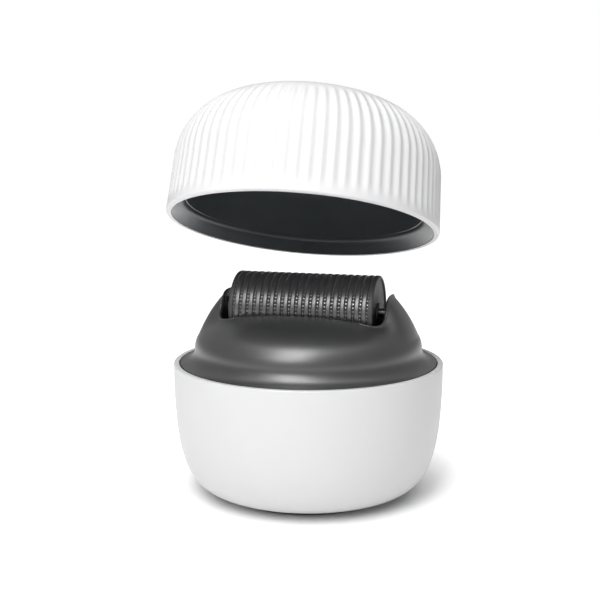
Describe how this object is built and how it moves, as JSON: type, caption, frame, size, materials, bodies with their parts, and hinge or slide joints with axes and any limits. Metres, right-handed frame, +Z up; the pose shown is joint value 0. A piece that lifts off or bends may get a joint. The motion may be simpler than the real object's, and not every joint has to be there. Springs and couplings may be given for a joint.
{
  "type": "derma roller",
  "caption": "Palm-size micro-needle skin roller: round white bowl, charcoal head with a spinning roller of needle discs, and a fluted magnetic lid.",
  "frame": {"origin": "centre of the foot's underside, where the bowl stands", "axes": "+Z up, the roller's axle lies along X, the open lid is tipped back towards +Y"},
  "size_m": [0.0662, 0.0666, 0.0982],
  "materials": {
    "foot": "matt, pale grey",
    "white_bowl": "satin white",
    "white_lid": "satin white",
    "charcoal_cover": "satin charcoal",
    "charcoal_trough": "satin, near black",
    "charcoal_liner": "matt charcoal",
    "roller_plastic": "satin dark grey",
    "core_plastic": "matt grey",
    "frame_plastic": "matt grey",
    "bush_plastic": "smooth, dark acetal",
    "needle_steel": "bright",
    "pin_steel": "ground, dark oxide",
    "screw_steel": "zinc plated",
    "magnet_nickel": "nickel plated"
  },
  "bodies": {
    "base": {"foot_pad": "foot", "bowl_shell": "white_bowl", "inner_frame": "frame_plastic", "bowl_screws": "screw_steel", "head_screws": "screw_steel", "head_cover": "charcoal_cover", "roller_trough": "charcoal_trough", "bush_left": "bush_plastic", "bush_right": "bush_plastic", "base_magnets": "magnet_nickel"},
    "roller": {"axle_pin": "pin_steel", "roller_core": "core_plastic", "end_cap_left": "roller_plastic", "end_cap_right": "roller_plastic", "needle_disc_01": "needle_steel", "needle_disc_02": "needle_steel", "needle_disc_03": "needle_steel", "needle_disc_04": "needle_steel", "needle_disc_05": "needle_steel", "needle_disc_06": "needle_steel", "needle_disc_07": "needle_steel", "needle_disc_08": "needle_steel", "needle_disc_09": "needle_steel", "needle_disc_10": "needle_steel", "needle_disc_11": "needle_steel", "needle_disc_12": "needle_steel", "needle_disc_13": "needle_steel", "needle_disc_14": "needle_steel", "needle_disc_15": "needle_steel", "needle_disc_16": "needle_steel", "needle_disc_17": "needle_steel", "needle_disc_18": "needle_steel", "needle_disc_19": "needle_steel", "needle_disc_20": "needle_steel", "spacer_ring_01": "roller_plastic", "spacer_ring_02": "roller_plastic", "spacer_ring_03": "roller_plastic", "spacer_ring_04": "roller_plastic", "spacer_ring_05": "roller_plastic", "spacer_ring_06": "roller_plastic", "spacer_ring_07": "roller_plastic", "spacer_ring_08": "roller_plastic", "spacer_ring_09": "roller_plastic", "spacer_ring_10": "roller_plastic", "spacer_ring_11": "roller_plastic", "spacer_ring_12": "roller_plastic", "spacer_ring_13": "roller_plastic", "spacer_ring_14": "roller_plastic", "spacer_ring_15": "roller_plastic", "spacer_ring_16": "roller_plastic", "spacer_ring_17": "roller_plastic", "spacer_ring_18": "roller_plastic", "spacer_ring_19": "roller_plastic"},
    "lid_carrier": {"lid_magnets": "magnet_nickel"},
    "lid": {"lid_shell": "white_lid", "lid_liner": "charcoal_liner"}
  },
  "joints": [
    {"name": "roller_spin", "type": "hinge", "parent": "base", "child": "roller", "pos_m": [0, 0, 0.0444], "axis": [1, 0, 0], "continuous": true},
    {"name": "lid_lift", "type": "slide", "parent": "base", "child": "lid_carrier", "axis": [-0.0375, 0, 0.9993], "range_m": [-0.03202, 0]},
    {"name": "lid_tilt", "type": "hinge", "parent": "lid_carrier", "child": "lid", "pos_m": [-0.0012, 0, 0.0677], "axis": [1, 0, 0], "range_deg": [0, 19.2]}
  ],
  "couplings": [
    {"joint": "lid_tilt", "follows": "lid_lift", "rad_per_m": -10.464}
  ]
}
